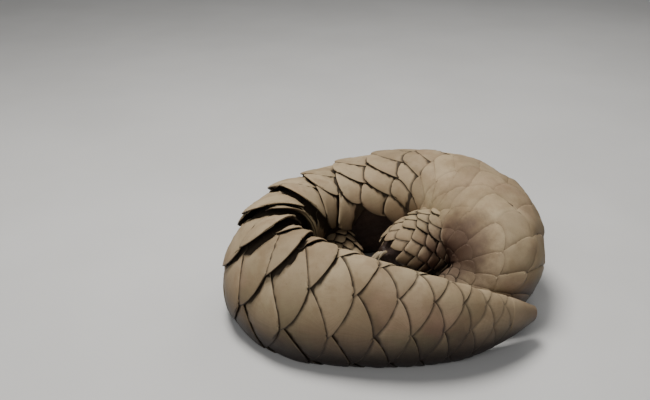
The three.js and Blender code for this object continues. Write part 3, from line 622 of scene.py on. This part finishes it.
def skin_height(u, angle):
    """The skin lies deeper under the scales, and in fine folds where it is bare."""
    turned = np.abs(np.degrees(np.arctan2(np.sin(angle), np.cos(angle))))
    covered = smooth(6, -6, turned - body.coat("limit", u)) * smooth(0.7, 1.0, u)
    points = body.skin(u, angle)
    folds = 0.6 * lattice_noise(points * [1, 1, 0.6], 9, 5) + 0.3 * lattice_noise(points, 4, 6)
    fade = smooth(3.0, 4.2, u)
    height = -2.5 * covered * smooth(0.8, 3, u) - 0.5 * covered + folds * (1 - covered) * (0.25 + 0.75 * fade)
    return height + face_height(u, points)


def face_height(u, points):
    """Lids with a fold around them, eye sockets, mouth line and lips as heights over the bare skin."""
    total = np.zeros(u.shape)
    near = u < FACE_END
    for hand in (1, -1):
        ahead = unit(beside(EYE, hand, shift=0.05) - beside(EYE, hand, shift=-0.05))
        off = points - beside(EYE, hand)
        lengthways = off @ ahead
        crossways = np.sqrt(np.maximum((off**2).sum(-1) - lengthways**2, 0))
        r = np.hypot(lengthways / EYE["longer"], crossways)
        lids = 2.4 * bulge(r - 5.0, 2.6) + 1.0 * bulge(r - 8.2, 3.0)
        socket = -4.5 * smooth(4.4, 3.2, r)
        total += np.where(near, lids + socket, 0)
        gap = np.full(u.shape, 99.0)
        for place in np.linspace(*MOUTH_BETWEEN, 40):
            gap = np.minimum(gap, np.linalg.norm(points - body.skin(place, hand * MOUTH_ANGLE), axis=-1))
        total += np.where(near, -1.5 * bulge(gap, 0.9) + 0.9 * bulge(gap - 2.4, 1.6), 0)
    return total


def open_nostrils(rings):
    """Presses two nostrils with raised rims into the rounded nose."""
    middle, ahead, side, back = body.axes_at(0.0)
    for hand in (1, -1):
        nostril = middle - ahead * 6 + side * 3.8 * hand + back * 2.2
        reach = np.linalg.norm(rings - nostril, axis=-1)
        press = 3.2 * smooth(2.9, 0.8, reach) - 0.6 * bulge(reach - 3.6, 0.8)
        rings += press[..., None] * ahead


def limb_rings(tube, seed):
    """A leg with its foot, whose toes are five low ridges."""
    def height(u, angle):
        toes = 1.6 * np.cos(5 * (angle - math.pi / 2)) * smooth(3.3, 4, u) * np.abs(np.sin(angle))
        return -2.6 + 0.5 * lattice_noise(tube.skin(u, angle), 5, seed) + toes

    return closed_tube(tube, np.linspace(0.35, tube.last, LIMB_RINGS), LIMB_ROUND, height, 8, 8)


def ear_rings(hand, rings=20, round_count=40):
    """A small cup that opens forwards."""
    base = beside(EAR, hand)
    ahead = unit(beside(EAR, hand, shift=0.05) - beside(EAR, hand, shift=-0.05))
    out = unit(beside(EAR, hand, height=1.0) - base)
    across = np.cross(out, ahead)
    turn = np.linspace(0, 2 * math.pi, round_count, endpoint=False)
    r, a = np.meshgrid(np.linspace(0, 1, rings), turn, indexing="ij")
    rim = 3.4 * np.sqrt(np.clip(1 - ((r - 0.72) / 0.3) ** 2, 0, 1))
    depth = np.where(r < 0.55, -0.5 + 2.6 * (r / 0.55) ** 2, rim)
    tall = 1 + 0.35 * np.cos(a)
    shape = base + ahead * (5.4 * r * np.cos(a))[..., None] + across * (8.6 * r * np.sin(a))[..., None]
    return shape + out * (depth * tall - 1.0)[..., None]


def skin_piece():
    """One mesh from the nose to the tail tip, with legs, feet and ears joined to it."""
    dense = np.linspace(0, FACE_END, DENSE_RINGS)
    sparse = np.linspace(FACE_END, body.last, SPARSE_RINGS)[1:]
    trunk = closed_tube(body, np.concatenate([dense, sparse]), SKIN_ROUND, skin_height, NOSE_REACH, 4)
    open_nostrils(trunk[:24])
    # Each grid of rings comes with its rectangle of the bake map and the way round its faces run.
    grids = [(trunk, (0.01, 0.01, 0.98, 0.66), 1)]
    for k, tube in enumerate(limbs.values()):
        grids.append((limb_rings(tube, 8 + k), (0.01 + 0.25 * k, 0.7, 0.23, 0.28), 1))
    for hand in (1, -1):
        grids.append((ear_rings(hand), (0.05 * (hand + 1), 0.985, 0.04, 0.01), hand))
    points, faces, uv = [], [], []
    start = 0
    for rings, place, way in grids:
        points.append(rings.reshape(-1, 3))
        faces.append(grid_faces(*rings.shape[:2], wrap=True, start=start)[:, ::way])
        uv.append(chart(*rings.shape[:2], *place))
        start += len(points[-1])
    flesh = [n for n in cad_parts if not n.startswith(("eye", "foot"))]
    points, faces, uv = (np.concatenate(parts) for parts in (points, faces, uv))
    return make_mesh("skin", to_metres(points), faces, uv, None, flesh)


# Claws and eyes

CLAW_PLACES = (-1, -0.5, 0, 0.5, 1)  # across the foot, from edge to edge
CLAW_RINGS, CLAW_ROUND = 26, 16
CLAW_FLAT = 0.8  # width of a claw's section as a share of its height
EYE_RINGS, EYE_ROUND = 25, 40


def bent_bar(points, radii):
    """Rings round a bent line."""
    ahead = unit(np.gradient(points, axis=0))
    a = unit(np.cross(ahead, UP))
    b = np.cross(a, ahead)
    turn = np.linspace(0, 2 * math.pi, CLAW_ROUND, endpoint=False)
    ring = a[:, None] * np.cos(turn)[None, :, None] * CLAW_FLAT + b[:, None] * np.sin(turn)[None, :, None]
    return points[:, None] + ring * radii[:, None, None]


def claws_piece(name, tube):
    """Five claws, the middle one longest, that start inside the end of a foot."""
    long, down, spread = CLAWS[name]
    middle, ahead, side, back = tube.axes_at(tube.last)
    size = tube.pick(tube.values["side"], tube.last)
    t = np.linspace(-0.1, 1, CLAW_RINGS)[:, None]
    grown = np.clip(t[:, 0], 0, 1)
    points, faces, uv = [], [], []
    for k, place in enumerate(CLAW_PLACES):
        reach = long * (1 - 0.55 * abs(place) ** 1.5)
        width = max(5 - 1.6 * abs(place), 3) * 1.05
        start = middle + side * 0.66 * size * place
        way = unit(ahead + side * spread * place * 0.4)
        line = start + way * reach * t + back * (2 + 3 * np.sin(math.pi * t)) - UP * down * reach * t * t
        bar = bent_bar(line, width * (1 - grown**1.5 * 0.97) * (1 - 0.12 * grown))
        points.append(bar.reshape(-1, 3))
        faces.append(grid_faces(CLAW_RINGS, CLAW_ROUND, wrap=True, start=k * CLAW_RINGS * CLAW_ROUND))
        uv.append(chart(CLAW_RINGS, CLAW_ROUND, 0.01, 0.01 + 0.2 * k, 0.98, 0.18))
    values = {"along": np.tile(np.repeat(grown, CLAW_ROUND), len(CLAW_PLACES))}
    points, faces, uv = (np.concatenate(parts) for parts in (points, faces, uv))
    return make_mesh(f"claws_{name}", to_metres(points), faces, uv, values, [f"foot_{name}"])


def eyeball(name, hand):
    """An eyeball with a slight bulge of the cornea, sunk into its socket."""
    middle = beside(EYE, hand)
    out = unit(beside(EYE, hand, height=1.0) - middle)
    middle = middle - out * EYE["sunk"]
    turn = np.linspace(0, 2 * math.pi, EYE_ROUND, endpoint=False)
    lat, lon = np.meshgrid(np.linspace(0, math.pi, EYE_RINGS), turn, indexing="ij")
    a = unit(np.cross(out, UP))
    b = np.cross(out, a)
    radius = EYE["radius"] * (1 + 0.06 * bulge(lat, 0.25))
    ball = out * np.cos(lat)[..., None]
    ball = ball + a * (np.sin(lat) * np.cos(lon))[..., None]
    ball = ball + b * (np.sin(lat) * np.sin(lon))[..., None]
    ball = to_metres((middle + radius[..., None] * ball).reshape(-1, 3))
    faces = grid_faces(EYE_RINGS, EYE_ROUND, wrap=True)
    uv = chart(EYE_RINGS, EYE_ROUND, 0.01, 0.01, 0.98, 0.98)
    values = {"along": (lat / math.pi).ravel()}
    return make_mesh(f"eyeball_{name}", ball, faces, uv, values, [f"eye_{name}"])


# Materials

# A dark purple-brown patch over the lower left of the shoulders: partly their tint, partly painted shade
# where they turn down.
DARK_PATCH_PLACE = (0.09, -0.066, 0.105)  # metres
DARK_PATCH_REACH = (0.095, 0.045)  # metres from there at which it ends and is full
DARK_PATCH_MOST = 0.78
HORN_SPECULAR = SKIN_SPECULAR = 0.35


def rgb(r, g, b):
    return (*[(c / 255) ** 2.2 for c in (r, g, b)], 1.0)


class Graph:
    """Short ways to add and join shader nodes."""

    def __init__(self, name):
        self.material = bpy.data.materials.new(name)
        self.material.use_nodes = True
        self.tree = self.material.node_tree
        self.shader = self.tree.nodes["Principled BSDF"]
        self.place = self.tree.nodes.new("ShaderNodeTexCoord").outputs["Object"]

    def add(self, kind, settings=None, **inputs):
        node = self.tree.nodes.new(kind)
        for key, value in (settings or {}).items():
            setattr(node, key, value)
        for key, value in inputs.items():
            self.set(node.inputs[key.replace("_", " ")], value)
        return node

    def set(self, socket, value):
        if isinstance(value, bpy.types.NodeSocket):
            self.tree.links.new(value, socket)
        else:
            socket.default_value = value

    def math(self, operation, a, b):
        node = self.tree.nodes.new("ShaderNodeMath")
        node.operation = operation
        self.set(node.inputs[0], a)
        self.set(node.inputs[1], b)
        return node.outputs[0]

    def times(self, a, b):
        return self.math("MULTIPLY", a, b)

    def plus(self, a, b):
        return self.math("ADD", a, b)

    def mix(self, factor, a, b):
        node = self.tree.nodes.new("ShaderNodeMix")
        node.data_type = "RGBA"
        self.set(node.inputs["Factor"], factor)
        self.set(node.inputs["A"], a)
        self.set(node.inputs["B"], b)
        return node.outputs["Result"]

    def cover(self, colour, share, most, over):
        """A colour with another over it, as far as a share says and no more than most."""
        return self.mix(self.times(share, most), colour, over)

    def span(self, value, low, high, to_low=0.0, to_high=1.0):
        node = self.tree.nodes.new("ShaderNodeMapRange")
        node.interpolation_type = "SMOOTHSTEP"
        for key, number in (("From Min", low), ("From Max", high), ("To Min", to_low), ("To Max", to_high)):
            node.inputs[key].default_value = number
        self.set(node.inputs["Value"], value)
        return node.outputs["Result"]

    def value(self, name):
        return self.add("ShaderNodeAttribute", {"attribute_name": name}).outputs["Fac"]

    def upright(self, vector):
        return self.add("ShaderNodeSeparateXYZ", Vector=vector).outputs["Z"]

    def noise(self, scale, detail=4.0, vector=None, rough=0.55):
        node = self.add("ShaderNodeTexNoise", Scale=scale, Detail=detail, Roughness=rough)
        self.set(node.inputs["Vector"], vector or self.place)
        return node.outputs["Fac"]

    def moved(self, away):
        """Another place in the same noise."""
        node = self.add("ShaderNodeVectorMath", {"operation": "ADD"})
        self.set(node.inputs[0], self.place)
        node.inputs[1].default_value = (away, away * 0.37, -away)
        return node.outputs[0]

    def far_from(self, place):
        """Distance from a place, in metres."""
        node = self.add("ShaderNodeVectorMath", {"operation": "DISTANCE"})
        self.set(node.inputs[0], self.place)
        node.inputs[1].default_value = place
        return node.outputs["Value"]

    def finish(self, colour, roughness, strength, distance, height):
        """Joins colour, roughness and a bump to the shader."""
        self.set(self.shader.inputs["Base Color"], colour)
        self.set(self.shader.inputs["Roughness"], roughness)
        bump = self.add("ShaderNodeBump", Strength=strength, Distance=distance, Height=height)
        self.set(self.shader.inputs["Normal"], bump.outputs[0])
        return self.material


def growth_lines(g, along, across, seed):
    """Fine ridges that fan out from a scale's root, and fainter rings that cross them."""
    fan = {"X": g.times(across, 9.0), "Y": g.times(along, 0.7), "Z": g.times(seed, 60.0)}
    ridges = g.noise(2.6, 3.0, g.add("ShaderNodeCombineXYZ", **fan).outputs[0], 0.6)
    rings_at = g.plus(g.times(along, 13.0), g.times(g.math("POWER", across, 2.0), -2.4))
    lane = g.add("ShaderNodeCombineXYZ", X=rings_at, Y=g.times(seed, 40.0)).outputs[0]
    return ridges, g.noise(1.6, 3.0, lane, 0.7)


def clean_horn(g, seed, ridges, rings):
    """Each scale's own brown, with greenish and reddish clouds and darker growth lines."""
    horn = g.mix(g.span(seed, 0.1, 0.9), rgb(98, 78, 56), rgb(150, 128, 100))
    horn = g.cover(horn, g.span(g.noise(19.0, 3.0), 0.45, 0.7), 0.5, rgb(122, 116, 82))
    horn = g.cover(horn, g.span(g.noise(14.0, 2.0, g.moved(7.0)), 0.5, 0.72), 0.45, rgb(150, 110, 94))
    horn = g.cover(horn, g.span(ridges, 0.42, 0.62), 0.16, rgb(84, 66, 46))
    return g.cover(horn, g.span(rings, 0.4, 0.66), 0.12, rgb(92, 74, 52))


def settled_dust(g, facing, height, patch, blotch_noise):
    """How much dust lies on what faces up, well above the floor."""
    settled = g.times(g.span(facing, -0.3, 0.75), g.span(height, 0.0, 0.12, 0.25, 1.0))
    uneven = g.plus(g.times(patch, 0.6), g.times(blotch_noise, 0.4))
    return g.times(settled, g.span(uneven, 0.3, 0.62, 0.45, 1.0))


def dusted(g, horn, dust, seed, patch):
    """Pale dust in two tones, and a mottle of thinner places."""
    tones = g.mix(g.span(patch, 0.4, 0.65), rgb(172, 152, 120), rgb(182, 163, 132))
    horn = g.cover(horn, dust, g.span(seed, 0.0, 1.0, 0.62, 0.9), tones)
    return g.cover(horn, g.span(g.noise(44.0, 3.0, g.moved(3.0)), 0.48, 0.66), 0.4, rgb(134, 112, 84))


def soiled_and_shaded(g, horn, facing, height, blotch_noise):
    """Painted shade near the floor, patchy above it and darkest at the floor, painted shade on what faces
    down, and a dark purple-brown patch with a ragged edge that is partly painted shade.
    """
    # Painted shade: darker brown in patches towards the floor, and nearly black just above it.
    low = g.times(g.span(height, 0.09, 0.01), g.span(blotch_noise, 0.2, 0.7, 0.75, 1.0))
    horn = g.cover(horn, low, 0.88, rgb(38, 28, 21))
    horn = g.cover(horn, g.span(height, 0.045, 0.008), 0.92, rgb(15, 10, 8))
    # Painted shade on what faces down.
    horn = g.cover(horn, g.span(facing, 0.2, -0.45), 0.85, rgb(30, 21, 16))
    # Dark purple-brown patch with a ragged edge, partly tint and partly painted shade.
    away = g.plus(g.far_from(DARK_PATCH_PLACE), g.times(blotch_noise, 0.045))
    return g.mix(g.span(away, *DARK_PATCH_REACH, 0.0, DARK_PATCH_MOST), horn, rgb(70, 48, 42))


def edged(g, horn, blotch_noise):
    """Dirt and painted shade gather dark where the scales on top of this one end, and its own free edge is
    worn pale.
    """
    beyond, rim, relief = g.value("beyond"), g.value("rim"), g.value("relief")
    near = g.plus(beyond, g.times(blotch_noise, 5.0))
    # Dark band beside the edges of the covering scales: partly dirt, partly painted shade of the overlap.
    dirt_and_shade_at_covers = g.times(g.span(near, 7.5, 2.5), g.span(relief, 0.0, 0.6, 0.12, 1.0))
    horn = g.cover(horn, dirt_and_shade_at_covers, 0.85, rgb(34, 24, 17))
    worn = g.times(g.span(rim, 1.6, 0.2), g.times(g.span(blotch_noise, 0.45, 0.6), relief))
    return g.cover(horn, worn, 0.15, rgb(188, 172, 142))


def scale_material():
    """Horn under dust, dirt and painted shade, which lie by the place, the slope and the edges of the scales.
    """
    g = Graph("scale_horn")
    along, across, seed = g.value("along"), g.value("across"), g.value("seed")
    ridges, rings = growth_lines(g, along, across, seed)
    patch = g.noise(11.0)
    # Blotchy noise that makes the dust, the dirt, the wear and the painted shade uneven.
    blotch_noise = g.noise(48.0, 5.0, None, 0.65)
    speckle = g.noise(420.0, 4.0, None, 0.7)
    facing = g.upright(g.add("ShaderNodeNewGeometry").outputs["Normal"])
    height = g.upright(g.place)
    dust = settled_dust(g, facing, height, patch, blotch_noise)
    horn = clean_horn(g, seed, ridges, rings)
    horn = dusted(g, horn, dust, seed, patch)
    horn = soiled_and_shaded(g, horn, facing, height, blotch_noise)
    horn = edged(g, horn, blotch_noise)
    horn = g.cover(horn, g.span(speckle, 0.56, 0.75), 0.28, rgb(84, 66, 48))
    roughness = g.span(g.plus(g.times(dust, 0.6), g.times(blotch_noise, 0.4)), 0.1, 0.8, 0.52, 0.85)
    bumps = g.times(ridges, g.span(along, 1.0, 0.55, 0.25, 0.8))
    for lumps, share in ((rings, 0.3), (blotch_noise, 0.5), (speckle, 0.15)):
        bumps = g.plus(bumps, g.times(lumps, share))
    g.shader.inputs["Specular IOR Level"].default_value = HORN_SPECULAR
    return g.finish(horn, roughness, 0.5, 0.0009, bumps)


def skin_material():
    """Leather with fine pores, darker than its own colour as painted shade for the belly and feet in the
    hollow.
    """
    g = Graph("bare_skin")
    fine = g.noise(120.0, 6.0, None, 0.65)
    cells = g.add("ShaderNodeTexVoronoi", {"feature": "DISTANCE_TO_EDGE"}, Scale=330.0, Vector=g.place)
    pores = cells.outputs["Distance"]
    # The base browns are darker than the skin's own: painted shade, so that the belly and feet in the hollow
    # read dark.
    base = g.mix(g.span(g.noise(14.0), 0.35, 0.65), rgb(56, 41, 33), rgb(76, 57, 46))
    base = g.cover(base, g.span(fine, 0.45, 0.7), 0.5, rgb(50, 38, 31))
    base = g.cover(base, g.span(pores, 0.12, 0.0), 0.4, rgb(38, 29, 25))
    height = g.plus(g.times(fine, 0.6), g.times(g.span(pores, 0.0, 0.25), 0.5))
    g.shader.inputs["Specular IOR Level"].default_value = SKIN_SPECULAR
    return g.finish(base, g.span(fine, 0.3, 0.7, 0.55, 0.8), 0.6, 0.0008, height)


def claw_material():
    """Horn that pales towards the tips."""
    g = Graph("claw_horn")
    grain = g.noise(260.0, 5.0, None, 0.6)
    base = g.mix(g.span(g.value("along"), 0.0, 1.0), rgb(150, 132, 104), rgb(206, 192, 160))
    base = g.cover(base, g.span(grain, 0.4, 0.65), 0.45, rgb(112, 94, 70))
    return g.finish(base, g.span(grain, 0.3, 0.7, 0.35, 0.55), 0.35, 0.0006, grain)


def eye_material():
    """A black pupil, a brown iris and a dark rest, by the distance from the front."""
    g = Graph("eye")
    along = g.value("along")
    base = g.mix(g.span(along, 0.11, 0.14), rgb(6, 5, 5), rgb(46, 28, 16))
    base = g.mix(g.span(along, 0.24, 0.3), base, rgb(20, 14, 12))
    g.set(g.shader.inputs["Base Color"], base)
    g.set(g.shader.inputs["Roughness"], g.span(along, 0.3, 0.6, 0.06, 0.3))
    return g.material


def floor_material():
    g = Graph("floor_paint")
    tone = g.span(g.noise(3.0, 3.0), 0.3, 0.7)
    g.set(g.shader.inputs["Base Color"], g.mix(tone, (0.62, 0.61, 0.59, 1), (0.66, 0.65, 0.63, 1)))
    g.shader.inputs["Roughness"].default_value = 0.7
    return g.material


# Pieces


def dress(pieces, material):
    for piece in pieces:
        piece.data.materials.clear()
        piece.data.materials.append(material)


scales = []
for name, low, high in STRETCHES:
    scales.append(scale_piece(f"scales_{name}", body, spots_between(body, low, high)))
for name, tube in limbs.items():
    scales.append(scale_piece(f"scales_leg_{name}", tube, spots_between(tube, *LIMB_STRETCH)))
scales.append(tail_cap())
skin = skin_piece()
claws = [claws_piece(name, tube) for name, tube in limbs.items()]
eyes = [eyeball("r", 1), eyeball("l", -1)]
dress(scales, scale_material())
dress([skin], skin_material())
dress(claws, claw_material())
dress(eyes, eye_material())

# Floor, light and camera

FLOOR_HALF = 4.0  # metres
# Camera read from the photograph: 26 degrees down, 785 pixels of focal length at 650 wide.
CAMERA_PLACE = (-83, -942, 619)  # millimetres, in the stations' frame
CAMERA_DOWN = 26
FOCAL_PIXELS = 785
PHOTO_WIDE = 650
SENSOR_WIDE = 36  # millimetres


def stage_floor():
    corners = [(x * FLOOR_HALF, y * FLOOR_HALF, 0) for x, y in ((-1, -1), (1, -1), (1, 1), (-1, 1))]
    mesh = bpy.data.meshes.new("floor")
    mesh.from_pydata(corners, [], [(0, 1, 2, 3)])
    floor = bpy.data.objects.new("floor", mesh)
    bpy.context.scene.collection.objects.link(floor)
    dress([floor], floor_material())


def area_light(name, place, target, size, power, colour):
    data = bpy.data.lights.new(name, "AREA")
    data.shape = "DISK"
    data.size = size
    data.energy = power
    data.color = colour
    lamp = bpy.data.objects.new(name, data)
    lamp.location = place
    lamp.rotation_euler = (Vector(target) - Vector(place)).to_track_quat("-Z", "Y").to_euler()
    bpy.context.scene.collection.objects.link(lamp)


def sky(colour, strength):
    world = bpy.data.worlds.new("studio")
    world.use_nodes = True
    background = world.node_tree.nodes["Background"]
    background.inputs["Color"].default_value = colour
    background.inputs["Strength"].default_value = strength
    bpy.context.scene.world = world


def aim_camera():
    data = bpy.data.cameras.new("camera")
    data.sensor_width = SENSOR_WIDE
    data.lens = SENSOR_WIDE * FOCAL_PIXELS / PHOTO_WIDE
    camera = bpy.data.objects.new("camera", data)
    x, y, z = CAMERA_PLACE
    camera.location = [(x - MIDDLE[0]) * MM, (y - MIDDLE[1]) * MM, z * MM]
    camera.rotation_euler = (math.radians(90 - CAMERA_DOWN), 0, 0)
    bpy.context.scene.collection.objects.link(camera)
    bpy.context.scene.camera = camera


stage_floor()
area_light("key", (-0.35, 0.12, 1.8), (0.0, 0, 0.06), 0.7, 33.5, (1.0, 0.985, 0.96))
area_light("fill", (-0.5, -1.7, 1.2), (0, 0, 0.06), 1.2, 11, (0.97, 0.98, 1.0))
area_light("rim", (0.6, 1.3, 1.4), (0, 0, 0.1), 0.9, 6, (1.0, 0.99, 0.97))
sky((0.85, 0.87, 0.9, 1), 0.18)
aim_camera()
